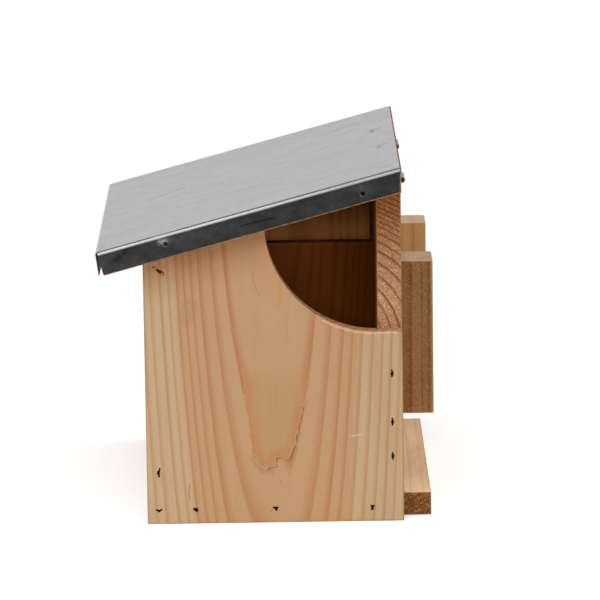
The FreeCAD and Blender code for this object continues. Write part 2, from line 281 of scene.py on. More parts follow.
def timber(name, node, grain, pith, lean, growth, seed, growth_beyond=None, warp=4.0, uneven=1.3,
           early=(191, 151, 112), late=(183, 133, 91), line=1.0, sap=None, coarse=0.0,
           end=((176, 134, 100), (128, 72, 38)), end_line=1.5, speckle=0.5, end_tints=(),
           edge=0.45, edge_tone=(168, 118, 76), inside_shade=(251, 216, 180), tints=(), marks=(), torn=None):
    """Pine cut from a log: yearly rings round a pith line, fibres along the grain, and end grain.

    grain is the axis of the fibres, and pith the place of the log's centre on the other two axes, in
    millimetres, at height 0 along the grain; lean is how far it moves for each millimetre of grain.
    growth gives ring numbers at distances from the pith, and growth_beyond those on the side where the
    first of the two axes is larger; warp bends the rings and uneven varies their width. early and late
    are the tones of a ring's spring and summer wood, line how strong the summer wood is, and sap the
    same two tones past a distance from the pith. coarse is how roughly the face is sawn. end, end_line,
    speckle and end_tints are the end grain's tones, sharpness, dots and tints. edge wears the edges
    towards edge_tone, and the inside tone multiplies what faces the inside of the box: painted shade.
    A torn piece has two tones below its root, a painted highlight on its rim, and a painted cast
    shadow on the flat strip beside it.
    """
    made, start = new_material(name)
    place = start.node("TexCoord", output="Object")
    facing = start.node("TexCoord", output="Normal").parts()
    axes = [axis * 1000 for axis in place.parts()]
    cross = [axis for axis in range(3) if axis != grain]
    offsets = [axes[cross[i]] - axes[grain] * lean[i] - pith[i] for i in range(2)]
    wander = (spots(place, stretched(grain, 50, 320), seed) - 0.5) * (2 * warp)
    radius = (offsets[0] * offsets[0] + offsets[1] * offsets[1]) ** 0.5 + wander
    rings = count_rings(radius, growth)
    if growth_beyond:
        beyond = count_rings(radius, growth_beyond)
        rings = rings + (beyond - rings) * offsets[0].rise(-8, 8)
    slow = {"W": rings * 0.31 + seed, "Scale": 1.0, "Detail": 1.0}
    drift = start.node("TexNoise", slow, noise_dimensions="1D")
    rings = rings + (drift - 0.5) * uneven + 40
    year = rings.maths("FRACT", rings)
    number = rings.maths("FLOOR", rings)
    vigour = start.node("TexWhiteNoise", {"W": number + seed}, noise_dimensions="1D")
    ramp = [(0.0, 0.0), (0.5, 0.0), (0.72, 0.6), (0.88, 1.0), (0.95, 0.75), (1.0, 0.0)]
    ripe = start.node("ValToRGB", {0: year}, stops=ramp)
    dense = ripe * (0.62 + vigour * 0.38)

    fibre = spots(place, stretched(grain, 1.1, 60), seed + 3, 3.0, 0.6)
    streak = spots(place, stretched(grain, 6, 220), seed + 5)
    fleck = spots(place, stretched(grain, 0.8, 5), seed + 7, 1.0).rise(0.70, 0.78)
    cloud = spots(place, stretched(grain, 26, 80), seed + 9, 3.0)
    grit = spots(place, (1.4, 1.4, 1.4), seed + 12, 2.0, 0.6)

    face = (dense * line).between(tone(*early), tone(*late))
    if sap:
        sap_face = (dense * line).between(tone(*sap[2]), tone(*sap[3]))
        face = face.blend(sap_face, (radius + (streak - 0.5) * 6).rise(sap[0], sap[1]))
    if torn:
        inward = start.node("Attribute", output="Fac", attribute_name="inward")
        free = axes[grain].rise(146, 116)
        toward_edge = (inward + (streak - 0.5) * 6).rise(11, 2)
        face = face.blend(toward_edge.between(tone(*torn[0]), tone(*torn[1])), free)
    face = face.blend(tone(194, 140, 100), cloud.rise(0.5, 0.75) * 0.22)
    face = face.scaled(0.845 + streak * 0.08 + fibre * 0.13 + grit * 0.10)
    face = face.blend(tone(120, 84, 54), fleck * 0.22)
    rough = 0.58 + dense * -0.08 + fibre * 0.12
    height = dense * 0.05 + fibre * 0.035 + grit * 0.01

    if coarse:
        fuzz = spots(place, stretched(grain, 1.5, 2.2), seed + 11, 3.0, 0.7)
        nap = cells(place, 0.75, seed)
        face = face.scaled(1 - coarse * 0.5 + fuzz * (coarse * 0.65) + nap * (coarse * 0.35))
        face = face.blend(tone(214, 172, 122), nap.rise(0.7, 0.98) * (coarse * 0.6))
        height = height + fuzz * (0.3 * coarse)
        rough = rough + 0.1

    pores = spots(place, (1.5, 1.1, 1.1), seed + 13, 2.0, 0.75)
    rays = spots(place, stretched(grain, 2.4, 9), seed + 15, 3.0, 0.7)
    dots = cells(place, 1.15, seed)
    cut = (dots.rise(0.5, 0.95) * (speckle * 0.65)).between(tone(*end[0]), tone(230, 188, 138))
    pitted = 1 - speckle * 0.42 + pores.rise(0.3, 0.7) * (speckle * 0.7) + (rays - 0.5) * (speckle * 0.3)
    cut = cut.scaled(pitted)
    cut = cut.blend(tone(*end[1]), (ripe ** end_line) * (0.66 + vigour * 0.33))
    cut = tinted(cut, place, end_tints)
    on_end = abs(facing[grain]).rise(0.45, 0.75)
    colour = face.blend(cut, on_end)
    height = height + on_end * (pores * 0.12 - dense * 0.06)
    rough = rough + on_end * 0.15

    # Faces that look into the box are multiplied by the inside tone, warmer and darker: painted shade.
    depths = [(axis - low).least(high - axis) for axis, (low, high) in zip(axes, ROOM)]
    inside = depths[0].least(depths[1]).least(depths[2]).rise(0.0, 0.25)
    colour = colour.blend(tone(*inside_shade), inside, "MULTIPLY")

    low, high = (corner * 1000 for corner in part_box(node))
    depths = [(axes[i] - low[i]).least(high[i] - axes[i]) for i in range(3)]
    nearer = depths[0].least(depths[1])
    further = depths[0].most(depths[1])
    rim = nearer.most(further.least(depths[2]))
    worn = (rim + (streak - 0.5) * 1.5).rise(1.6, 0.3)
    colour = colour.blend(tone(*edge_tone), worn * edge * (1 - inside))
    colour = tinted(colour, place, tints)

    # On a torn piece: a painted highlight along its rim, and on the flat strip beside it a painted cast
    # shadow, broken up.
    if torn:
        colour = colour.blend(tone(218, 180, 138), inward.rise(1.2, 0.5) * free * 0.6)
        broken = spots(place, (5, 5, 5), seed + 23).rise(0.36, 0.52)
        colour = colour.blend(tone(112, 74, 44), inward.rise(-0.3, -0.8) * (0.3 + broken * 0.55))
    if marks:
        flat = start.joined(axes[cross[0]], axes[grain])
        ragged = spots(place, (2.2, 2.2, 2.2), seed + 21, 3.0, 0.7)
        colour = painted(colour, flat, marks, ragged, 1 - facing[cross[1]].rise(0.5, 0.9))

    surface = {"Base Color": colour, "Roughness": rough}
    finish_surface(start, surface, height, IOR=1.45, Specular_IOR_Level=0.12)
    return made


# Metal


def zinc_sheet(name):
    """Dull zinc-coated sheet, cloudy and faintly streaked along the slope, its flanges painted darker as
    shade.
    """
    made, start = new_material(name)
    place = start.node("TexCoord", output="Object")
    normal = start.node("TexCoord", output="Normal")
    top = normal.dot(LID_UP).rise(0.2, 0.9)
    corner = on_lid(0, 0, 0)
    along = place.dot(LID_ALONG) * 1000 - corner.dot(LID_ALONG) / MM
    up = place.dot(LID_UP) * 1000 - corner.dot(LID_UP) / MM
    across = place.parts()[1] * 1000
    turned = start.joined(along * MM, across * MM, up * MM)

    streak = spots(turned, (150, 4, 5), 2.0, 4.0, 0.6)
    hair = spots(turned, (40, 1.3, 1.6), 4.0, 2.0)
    cloud = spots(turned, (22, 14, 14), 5.0, 4.0, 0.6)
    mottle = spots(turned, (4.5, 3.5, 3.5), 6.0, 3.0, 0.7)
    grain = spots(turned, (1.5, 1.3, 1.3), 9.0, 2.0, 0.7)
    speck = spots(turned, (1.3, 1.1, 1.1), 8.0, 1.0)
    wisp = spots(turned, (32, 15, 15), 14.0, 3.0, 0.65)
    blot = spots(turned, (8, 17, 17), 16.0, 3.0, 0.6)
    light = cloud.between(tone(190, 188, 190), tone(202, 199, 202))
    cloudy = streak * 0.13 + mottle * 0.20 + hair * 0.10 + grain * 0.12 + wisp * 0.30 + blot * 0.20
    light = light.scaled(cloudy + 0.485)
    light = light.blend(tone(118, 118, 121), speck.rise(0.74, 0.80) * 0.45)
    # The flanges, painted darker than the top as shade, with the same cloud and grain and lighter specks.
    side = cloud.rise(0.3, 0.7).between(tone(80, 80, 80), tone(103, 103, 103))
    side = side.scaled(0.59 + mottle * 0.25 + grain * 0.65)
    side = side.blend(tone(150, 150, 148), speck.rise(0.72, 0.78) * 0.55)
    colour = side.blend(light, top)

    # Painted shade: a dark line along the crease beside each side fold, on its top.
    crease = abs(across).rise(171.0, 171.9) * abs(across).rise(173.6, 173.0) * top.rise(0.3, 0.6)
    colour = colour.blend(tone(110, 110, 111), crease * 0.45)
    # Painted shade: the bends greyer towards the rear, which dims their highlight there.
    fold = top.rise(0.02, 0.25) * top.rise(0.99, 0.85)
    colour = colour.blend(tone(134, 134, 136), fold * along.rise(120, 250) * 0.85)
    smudges = [((200, 118), (232, 128)), ((40, 20), (70, 34)), ((120, -60), (160, -52))]
    corner_smudges = [((14, -110), (30, -104)), ((252, -148), (255, -146))]
    colour = painted(colour, start.joined(along, across), [
        (smudges, 3.0, 5.0, (150, 149, 151), 0.30),
        (corner_smudges, 3.0, 4.0, (140, 138, 138), 0.32),
    ], mottle, top)
    # Painted on the flanges: a painted glint at the lower left of each nail head, two dark marks, and a
    # painted highlight above the first nail's hollow.
    nail_glints = [[(a + 2.3 * math.cos(turn), u + 2.3 * math.sin(turn)) for turn in (2.8, 3.4, 4.0, 4.6)]
                   for a, u in ROOF_NAILS]
    colour = painted(colour, start.joined(along, up), [
        ([((122.7, 9.5), (137, 9.6), (154.1, 8.6))], 0.8, 0.5, (26, 26, 27), 0.55),
        ([((13, 10.5), (17, 12.5)), ((22, 14), (24, 15))], 2.6, 2.0, (34, 34, 35), 0.5),
        ([((54.5, 15.2),), ((57.0, 14.4),)], 3.2, 3.6, (196, 196, 194), 0.62),
        (nail_glints, 0.35, 0.5, (232, 232, 230), 0.85),
    ], mottle, 1 - top)
    rough = 0.30 + cloud * 0.10 + grain * 0.08
    height = cloud * 0.02 + mottle * 0.004 + grain * 0.004
    finish_surface(start, {"Base Color": colour, "Roughness": rough}, height, Metallic=1.0)
    return made


def plated_steel(name, bright, dull, seed, rough):
    """Steel with two cloudy tones and a fine grain."""
    made, start = new_material(name)
    place = start.node("TexCoord", output="Object")
    cloud = spots(place, (4, 4, 4), seed, 3.0)
    fine = spots(place, (0.9, 0.9, 0.9), seed + 3, 2.0)
    colour = cloud.rise(0.35, 0.7).between(tone(*bright), tone(*dull))
    colour = colour.scaled(0.85 + fine * 0.3)
    surface = {"Base Color": colour, "Roughness": rough + cloud * 0.2}
    finish_surface(start, surface, fine * 0.03, Metallic=1.0)
    return made


# Studio


def set_world():
    """White to the camera, and a studio to reflections: a pale backdrop, dark above it and in front."""
    world = bpy.data.worlds.new("studio")
    bpy.context.scene.world = world
    world.use_nodes = True
    world.node_tree.nodes.clear()
    start = Wire(world.node_tree)
    path = "LightPath"
    seen = start.node(path, output="Is Camera Ray")
    mirrored = start.node(path, output="Is Glossy Ray").most(start.node(path, output="Is Transmission Ray"))
    direction = start.node("TexCoord", output="Generated").parts()
    height, depth = direction[2], direction[1]
    backdrop = height.rise(0.55, 0.40) * depth.rise(-0.35, 0.25)
    front = height.rise(0.40, 0.25) * height.rise(0.02, 0.12) * 0.30
    reflected = 0.10 + backdrop.most(front) * 0.90
    fill = 0.16 + height.rise(-0.2, 0.6) * 0.22
    level = fill + (reflected - fill) * mirrored
    level = level + (1 - level) * seen
    shader = start.node("Background", {"Color": (1, 1, 1, 1), "Strength": level})
    output = world.node_tree.nodes.new("ShaderNodeOutputWorld")
    world.node_tree.links.new(shader.socket, output.inputs[0])


def add_floor():
    """A pale round floor that shows as the background does and keeps the object's shadow."""
    mesh = bpy.data.meshes.new("floor")
    shape = bmesh.new()
    bmesh.ops.create_circle(shape, cap_ends=True, segments=96, radius=0.9)
    shape.to_mesh(mesh)
    shape.free()
    floor = bpy.data.objects.new("floor", mesh)
    bpy.context.scene.collection.objects.link(floor)
    made, start = new_material("pale floor")
    path = "LightPath"
    seen = start.node(path, output="Is Camera Ray").most(start.node(path, output="Is Transmission Ray"))
    paint = start.node("BsdfDiffuse", {"Color": (0.80, 0.80, 0.80, 1)})
    glow = start.node("Emission", {"Color": (1, 1, 1, 1), "Strength": seen * 0.40})
    close(start, start.node("AddShader", {0: paint, 1: glow}))
    mesh.materials.append(made)
    return floor


def dress(node, material):
    """Gives a CAD node its material."""
    slots = NODES[node].data.materials
    if len(slots):
        slots[0] = material
    else:
        slots.append(material)


# Pieces


def merged(node):
    """A merged copy of a CAD node's mesh, with its flat faces whole again."""
    shape = bmesh.new()
    shape.from_mesh(NODES[node].data)
    bmesh.ops.remove_doubles(shape, verts=shape.verts, dist=1e-6)
    bmesh.ops.dissolve_limit(shape, angle_limit=math.radians(0.3), verts=shape.verts, edges=shape.edges)
    return shape


def make_piece(name, shape, material, body):
    """An object from a finished shape, smooth except at sharp edges, riding on its body."""
    limit = math.radians(35)
    for edge in shape.edges:
        edge.smooth = edge.is_manifold and edge.calc_face_angle() < limit
    for face in shape.faces:
        face.smooth = True
    mesh = bpy.data.meshes.new(name)
    shape.to_mesh(mesh)
    shape.free()
    mesh.materials.append(material)
    piece = bpy.data.objects.new(name, mesh)
    bpy.context.scene.collection.objects.link(piece)
    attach(piece, body)
    return piece


def slice_up(shape, direction, places, near=None, reach=0.0):
    """Cuts the faces across a direction at the given places, or only those near a point."""
    for place in places:
        faces = [f for f in shape.faces if near is None or (f.calc_center_median() - near).length < reach]
        edges = {e for f in faces for e in f.edges}
        corners = {v for f in faces for v in f.verts}
        bmesh.ops.bisect_plane(shape, geom=faces + list(edges) + list(corners), dist=1e-7,
                               plane_co=direction * place, plane_no=direction)


def steps(first, last, step):
    """Even steps from first to last."""
    return [first + number * step for number in range(int((last - first) / step) + 1)]


def hollow(offset_a, offset_b, reach_a, reach_b, depth):
    """Depth of a round or long hollow at a place measured from its middle."""
    return depth * math.exp(-((offset_a / reach_a) ** 2) - (offset_b / reach_b) ** 2)


def on_lid(along, across, up):
    """A place in millimetres up the slope from the lid's front end, across it and above its underside."""
    overhang = 33.5
    start = Vector((-110 - overhang * math.cos(SLOPE), 0, 228 - overhang * math.sin(SLOPE)))
    return (start + LID_ALONG * along + LID_UP * up + Vector((0, across, 0))) * MM


def from_lid(place):
    """How far a place is up the slope, across it and above the lid's underside, in millimetres."""
    away = place - on_lid(0, 0, 0)
    return away.dot(LID_ALONG) / MM, away.y / MM, away.dot(LID_UP) / MM


# Nails in the side flanges: millimetres up the slope and above the lid's underside.
ROOF_NAILS = [(57.6, 12.3), (229.6, 8.2)]
# Pimples in the sheet's top: millimetres up the slope and across, and how high each stands.
ROOF_PIMPLES = [(246.2, 57.9, 1.0), (250.4, -35.4, 1.0), (262.3, -127.2, 0.35), (239.5, -118.0, 0.3),
                (31.5, 90.0, 0.3)]
# The sheet across, from its middle: where its crease starts, its bends start and its flanges' faces are.
CREASE, BEND, FLANGE = 171.2, 173, 175
# The sheet above the lid's underside: where its bends start, and its top.
BEND_UP, SHEET_TOP = 18.8, 20.8


def roof_sheet():
    """The folded sheet, finely cut: a crease inside each side fold, hollows round the nails, a slack top."""
    shape = merged("roof_sheet")
    front_corners = []
    for edge in shape.edges:
        ends = [from_lid(v.co) for v in edge.verts]
        if all(abs(across) > FLANGE - 0.1 and along < 0.2 and up < 19 for along, across, up in ends):
            front_corners.append(edge)
    bmesh.ops.bevel(shape, geom=front_corners, offset=0.35 * MM, offset_type="OFFSET", segments=2,
                    profile=0.5, affect="EDGES", material=-1)
    origin = on_lid(0, 0, 0)
    base_along = origin.dot(LID_ALONG)
    base_up = origin.dot(LID_UP)
    slice_up(shape, LID_ALONG, steps(base_along + 4 * MM, base_along + 264 * MM, 7 * MM))
    slice_up(shape, CROSSWAYS, steps(-168 * MM, 168 * MM, 8 * MM))
    slice_up(shape, CROSSWAYS, [side * cut * MM for side in (-1, 1) for cut in (CREASE, 171.7, 172.3, BEND)])
    slice_up(shape, LID_UP, steps(base_up + 3 * MM, base_up + 18.5 * MM, 3.5 * MM))
    finer_at = [on_lid(along, side * FLANGE, up) for along, up in ROOF_NAILS for side in (-1, 1)]
    finer_at += [on_lid(along, across, SHEET_TOP) for along, across, _ in ROOF_PIMPLES]
    for spot in finer_at:
        for direction in (LID_ALONG, LID_UP, CROSSWAYS):
            middle = spot.dot(direction)
            slice_up(shape, direction, steps(middle - 9 * MM, middle + 9 * MM, 1.2 * MM), spot, 13 * MM)
    for vert in shape.verts:
        along, across, up = from_lid(vert.co)
        edge_way = abs(across)
        if edge_way > BEND:
            push = sum(hollow(along - a, up - u, 6.0, 6.0, 0.72) for a, u in ROOF_NAILS)
            slack = 0.18 * (0.5 + 0.5 * noise.noise((along / 45, across, 3.0)))
            fade = max(0.0, min(1.0, (18.5 - up) / 6))
            vert.co.y -= math.copysign((push + slack) * fade * MM, across)
        elif up > 19 and edge_way <= CREASE:
            lift = sum(hollow(along - a, across - c, 2.0, 3.0, 0.95 * h) for a, c, h in ROOF_PIMPLES)
            dent = sum(hollow(along - a - 5, across - c - 6, 9.0, 2.2, 0.45 * h) for a, c, h in ROOF_PIMPLES)
            edge = min(1.0, (CREASE - edge_way) / 12, max(0.0, along) / 12)
            slack = 0.45 * edge * (0.5 + 0.5 * noise.noise((along / 110, across / 40, 7.0)))
            vert.co += LID_UP * ((lift - dent - slack) * MM)
        if edge_way > CREASE and up > 15 and on_outer_skin(edge_way, up):
            worn_way, worn_up = worn_fold(edge_way, up)
            vert.co += LID_UP * ((worn_up - up) * MM)
            if edge_way < FLANGE - 0.01:
                vert.co.y = math.copysign(worn_way * MM, across)
    return shape


def on_outer_skin(edge_way, up):
    """Whether a point of the sheet near a side fold lies on its outer face."""
    if edge_way < BEND:
        return up > SHEET_TOP - 0.4
    if up < BEND_UP:
        return edge_way > FLANGE - 0.2
    return math.hypot(edge_way - BEND, up - BEND_UP) > 1.6


def worn_fold(edge_way, up):
    """Where that point goes: a crease pressed in beside the fold, and a bend hammered nearly flat."""
    if edge_way < BEND:
        return edge_way, up - 0.55 * (edge_way - CREASE) / (BEND - CREASE)
    still, beaten = 15, 17.2
    if up < BEND_UP:
        return edge_way, still + (up - still) * (beaten - still) / (BEND_UP - still)
    turn = math.atan2(edge_way - BEND, up - BEND_UP)
    flat = 4 / 3
    return 172.9 + 2.1 * math.sin(turn) ** flat, beaten + 3.05 * max(0.0, math.cos(turn)) ** flat


def turned_nail(head, thickness, dome, shank, length):
    """A nail turned from its outline, head up at the origin, point down -Z."""
    outline = [(0, dome), (head * 0.55, dome * 0.85), (head * 0.92, 0.15 * thickness),
               (head, -0.4 * thickness), (head * 0.9, -thickness), (shank, -thickness),
               (shank, -length + 3), (0.1, -length)]
    shape = bmesh.new()
    points = [shape.verts.new((x * MM, 0, z * MM)) for x, z in outline]
    edges = [shape.edges.new(pair) for pair in zip(points, points[1:])]
    bmesh.ops.spin(shape, geom=points + edges, cent=(0, 0, 0), axis=(0, 0, 1), dvec=(0, 0, 0),
                   angle=2 * math.pi, steps=28, use_merge=True, use_duplicate=False)
    bmesh.ops.remove_doubles(shape, verts=shape.verts, dist=1e-6)
    bmesh.ops.holes_fill(shape, edges=shape.edges)
    bmesh.ops.recalc_face_normals(shape, faces=shape.faces)
    return shape


def gathered(shapes):
    """Several shapes in one."""
    whole = bmesh.new()
    for shape in shapes:
        mesh = bpy.data.meshes.new("part")
        shape.to_mesh(mesh)
        shape.free()
        whole.from_mesh(mesh)
        bpy.data.meshes.remove(mesh)
    return whole


def turned_to(direction, place):
    """A turn that points +Z along a direction, and a move to a place."""
    return Matrix.Translation(place) @ direction.to_track_quat("Z", "Y").to_matrix().to_4x4()


def roof_nails():
    """Four flat-headed nails, bruised by the hammer and a little tilted, sunk with the sheet round them."""
    chance = random.Random(5)
    nails = []
    for along, up in ROOF_NAILS:
        for side in (-1, 1):
            nail = turned_nail(head=2.0, thickness=0.8, dome=0.25, shank=1.1, length=20)
            for vert in nail.verts:
                if vert.co.z > -0.9 * MM:
                    bump = noise.noise(vert.co * 1100 + Vector((along, side, 0)))
                    vert.co *= 1 + 0.16 * bump
            angle = math.radians(chance.uniform(5, 9))
            lean = Matrix.Rotation(angle, 4, (-1, 0.5 + chance.uniform(-0.2, 0.2), 0))
            place = on_lid(along, side * (FLANGE - 0.4), up)
            nail.transform(turned_to(Vector((0, side, 0)), place) @ lean)
            nails.append(nail)
    return gathered(nails)


# The outline of the lifted grain on the opening side, in millimetres along the panel and up it.
FLAKE = [(-29.8, 148.6), (-27.2, 136), (-25.4, 125), (-25.5, 108.3), (-25.3, 102), (-23.7, 95.4),
         (-22.2, 89.3), (-21.4, 80.3), (-20.9, 67), (-19.9, 62.4), (-17.5, 57.9), (-16.1, 58.7),
         (-14.8, 55), (-12.4, 51.1), (-11.3, 51.7), (-8.3, 49.6), (-7.5, 47.9), (-5.9, 46.8),
         (-5.1, 48.7), (1.2, 49.3), (1.0, 55.4), (2.7, 57.9), (6.5, 56.7), (10.3, 54.7), (12, 55.5),
         (13.6, 57.7), (15.1, 63.5), (17.6, 68), (18.5, 75.8), (20.2, 83), (22.3, 91.9), (23.7, 97.5),
         (24.6, 101.4), (26.8, 104.7), (27.9, 109.2), (29.2, 118.6), (30.5, 132), (32.4, 147)]


def torn_grain():
    """A tongue of grain that has lifted from the panel: free at its ragged lower end, one with it above.

    Its attribute "inward" is the distance from its edge in millimetres, and -1 on a flat copy of its
    outline shifted right and down beside it, which is darkened as a painted cast shadow.
    """
    face_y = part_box("opening_side_panel")[0].y
    shape = bmesh.new()
    inward = shape.verts.layers.float.new("inward")
    corners = [shape.verts.new((x * MM, face_y + 0.3 * MM, z * MM)) for x, z in FLAKE]
    shape.faces.new(corners)
    bmesh.ops.subdivide_edges(shape, edges=shape.edges, cuts=3)
    chance = random.Random(11)
    for vert in shape.verts:
        vert.co += Vector((chance.uniform(-0.25, 0.25), 0, chance.uniform(-0.35, 0.35))) * MM
    brink = [v.co.copy() for v in shape.verts]
    slice_up(shape, UPWARD, steps(46 * MM, 148 * MM, 3 * MM))
    slice_up(shape, REARWARD, steps(-28 * MM, 31 * MM, 3 * MM))
    tongue = shape.faces[:]
    # A flat copy of the outline, shifted right and down where the tongue is free, lies beside it as a
    # painted cast shadow.
    copied = bmesh.ops.duplicate(shape, geom=shape.verts[:] + shape.edges[:] + tongue)["geom"]
    for vert in copied:
        if isinstance(vert, bmesh.types.BMVert):
            shift = max(0.0, min(1.0, (120 - vert.co.z / MM) / 15))
            vert.co += Vector((0.75, -0.34, -0.5)) * (shift * MM)
            vert[inward] = -1
    raised = bmesh.ops.extrude_face_region(shape, geom=tongue)["geom"]
    for vert in raised:
        if isinstance(vert, bmesh.types.BMVert):
            vert.co.y -= MM
    crown = [f for f in raised if isinstance(f, bmesh.types.BMFace)]
    bmesh.ops.inset_region(shape, faces=crown, thickness=0.5 * MM, depth=0, use_even_offset=True,
                           use_boundary=True)
    for vert in shape.verts:
        if vert.co.y < face_y - 0.5 * MM:
            x, z = vert.co.x / MM, vert.co.z / MM
            here = Vector((vert.co.x, face_y + 0.3 * MM, vert.co.z))
            vert[inward] = min((here - point).length for point in brink) / MM
            grown = max(0.0, min(1.0, (146 - z) / 40))
            lifted = max(0.0, min(1.0, (78 - z) / 30))
            height = 0.70 * grown + 0.70 * lifted ** 2 + 0.12 * noise.noise((x / 8, z / 12, 2.0))
            height = height * (0.25 + 0.75 * min(1.0, vert[inward] / 0.5)) - 0.08
            vert.co.y = face_y - height * MM
    bmesh.ops.recalc_face_normals(shape, faces=shape.faces)
    return shape


def heads_of(node, axis, side):
    """The middle of each nail head of a CAD node on one side of the box."""
    ends = [v.co for v in NODES[node].data.vertices]
    limit = max(v[axis] * side for v in ends) - 0.3 * MM
    groups = []
    for place in ends:
        if place[axis] * side < limit:
            continue
        for group in groups:
            if (group[0] - place).length < 5 * MM:
                group.append(place)
                break
        else:
            groups.append([place])
    return [sum(group, Vector()) / len(group) for group in groups]


def scar(place, out, seed, long=1.0, tilt=0.0, cover=0.45, cover_at=None, size=1.0):
    """Fibres torn up round a sunk fastener, which cover part of its pocket."""
    chance = random.Random(seed)
    shape = bmesh.new()
    made = bmesh.ops.create_circle(shape, segments=36, radius=1.0)
    ring = list(made["verts"])
    edges = list({e for v in ring for e in v.link_edges})
    side_at = chance.uniform(0, 2 * math.pi) if cover_at is None else cover_at
    jitter = [chance.uniform(-1, 1) for _ in ring]

    def at(vert):
        return math.atan2(vert.co.y, vert.co.x / long)

    def set_ring(verts, radius, height, ragged, covered):
        for vert, uneven in zip(verts, jitter):
            angle = at(vert)
            toward = max(0.0, math.cos(angle - side_at)) ** 1.5
            reach = radius * (1 - covered * toward) + ragged * uneven
            vert.co = Vector((math.cos(angle) * reach * long, math.sin(angle) * reach, height)) * size

    # From the outside in: each ring's radius and height, how ragged it is and how far it closes.
    set_ring(ring, 3.0, -0.03, 0.35, 0.0)
    for radius, height, ragged, covered in ((2.2, 0.14, 0.2, cover * 0.5), (1.62, 0.34, 0.16, cover),
                                            (1.45, 0.05, 0.14, cover), (1.6, -0.5, 0.0, cover * 0.8)):
        grown = bmesh.ops.extrude_edge_only(shape, edges=edges)["geom"]
        verts = [g for g in grown if isinstance(g, bmesh.types.BMVert)]
        edges = [g for g in grown if isinstance(g, bmesh.types.BMEdge)]
        set_ring(verts, radius, height, ragged, covered)
    bmesh.ops.recalc_face_normals(shape, faces=shape.faces)
    if sum(f.normal.z for f in shape.faces) < 0:
        bmesh.ops.reverse_faces(shape, faces=shape.faces)
    shape.transform(turned_to(out, place) @ Matrix.Rotation(tilt, 4, "Z") @ Matrix.Scale(MM, 4))
    return shape


def nail_scars(node, axis, side, surface, seed, shapes):
    """A scar round every nail of a node on one side, at the board's surface.

    shapes gives, for nails at measured places along the board and up it, how the fibres cover the pocket.
    """
    out = Vector((0, 0, 0))
    out[axis] = side
    scars = []
    for number, head in enumerate(heads_of(node, axis, side)):
        place = head.copy()
        place[axis] = surface
        settings = {}
        for x, z, chosen in shapes:
            if (Vector((x, z)) * MM - Vector((place.x, place.z))).length < 4 * MM:
                settings = chosen
        scars.append(scar(place, out, seed + number, **settings))
    return gathered(scars)


def staple_scars():
    """The lips of wood that a sunk staple has thrown up on each side, closed over the ends of its crown."""
    lips = []
    for side in (-1, 1):
        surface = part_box("opening_side_panel")[0].y if side < 0 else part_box("closed_side_panel")[1].y
        place = Vector((-96.5 * MM, surface, 220.8 * MM))
        tilt = math.radians(-38 if side < 0 else -33)
        lips.append(scar(place, Vector((0, side, 0)), 90 + side, long=3.0, tilt=tilt, cover=0.35,
                         cover_at=math.pi / 2, size=0.66))
    return gathered(lips)


# The studio that the object stands in

bpy.context.scene.view_settings.view_transform = "Standard"
set_camera()
set_world()
add_floor()
add_lamp("overhead softbox", (-0.55, -1.05, 2.05), (0, 0, 0.15), (2.2, 2.2), 38)
front_fill = add_lamp("front fill", (0.2, -4.6, 1.12), (0, 0, 0.2), (2.4, 0.5), 50)
side_fill = add_lamp("side fill", (1.9, 0.5, 1.5), (0.1, 0, 0.1), (1.4, 1.4), 19)
front_fill.visible_glossy = False
side_fill.visible_glossy = False


# Marks on the opening side: lines in millimetres along and up it, their reach, softness, tone and strength

# Painted shade in the nail pockets, the staple's slot and the splits beside them.
POCKET_SHADE = (40, 26, 18)
haze = [
    ([((-4, 232), (-3, 206))], 9.0, 4.0, (196, 144, 104), 0.35),
    ([((-20, 168), (-8, 150)), ((4, 160), (10, 128))], 12.0, 6.0, (186, 148, 112), 0.35),
]
below_flake = [([((3, 47), (6, 24))], 10.0, 5.0, (190, 151, 112), 1.0)]
# The staple's gouge: its orange torn wood and two scratches are the wood's own colour; its dark ends and the
# dark slot along its crown are painted shade, and the yellow spot by its left end is a painted highlight.
staple_marks = [
    ([((-99.7, 223.5), (-93.3, 218.6))], 1.75, 0.6, (178, 104, 30), 0.95),
    ([((-101.0, 224.5),)], 1.0, 0.4, (116, 54, 12), 0.85),
    ([((-95.6, 222.0), (-92.4, 219.6)), ((-92.2, 218.0),)], 0.7, 0.3, (84, 42, 10), 0.85),
    ([((-99.0, 222.7), (-98.6, 222.4))], 0.7, 0.3, (232, 166, 84), 0.9),
    ([((-98.0, 222.2), (-94.7, 219.6))], 0.75, 0.2, POCKET_SHADE, 1.0),
    ([((-97.1, 226.7), (-93.0, 225.7), (-89.7, 222.7))], 0.6, 0.4, (200, 116, 54), 0.7),
    ([((-97.0, 217.0), (-94.4, 216.0))], 0.8, 0.5, (196, 116, 62), 0.6),
]
# The nails' pockets and splits, painted dark as shade, and one small dark mark.
nail_marks = [
    ([((-102.3, 12.7), (-100.1, 11.9)), ((-99.6, 11.9), (-97.9, 12.9)), ((-101, 12.1), (-99, 12.1))],
     0.85, 0.3, POCKET_SHADE, 1.0),
    ([((-70.0, 13.3), (-67.4, 13.2)), ((-70.3, 12.2), (-68.8, 12.0))], 0.9, 0.4, POCKET_SHADE, 1.0),
    ([((-1.8, 13.2), (1.5, 13.2)), ((0.1, 12.6), (0.5, 11.2))], 1.0, 0.4, POCKET_SHADE, 1.0),
    ([((-3.9, 10.2), (-3.4, 10.6))], 0.5, 0.3, (110, 78, 52), 0.8),
    ([((81.6, 13.9), (84.5, 13.5)), ((83.2, 13.0), (82.9, 10.4)), ((82.0, 10.2), (83.9, 11.0))],
     0.75, 0.4, POCKET_SHADE, 1.0),
    ([((-98.8, 48.9), (-99.7, 45), (-99.6, 42.0))], 0.8, 0.2, POCKET_SHADE, 1.0),
    ([((-99.9, 46.2), (-100.1, 44.4))], 1.2, 0.3, POCKET_SHADE, 1.0),
    ([((100.5, z + 2.9), (101.5, z + 0.2), (100.7, z - 2.7)) for z in (57, 87, 129.4)],
     0.8, 0.2, POCKET_SHADE, 1.0),
]
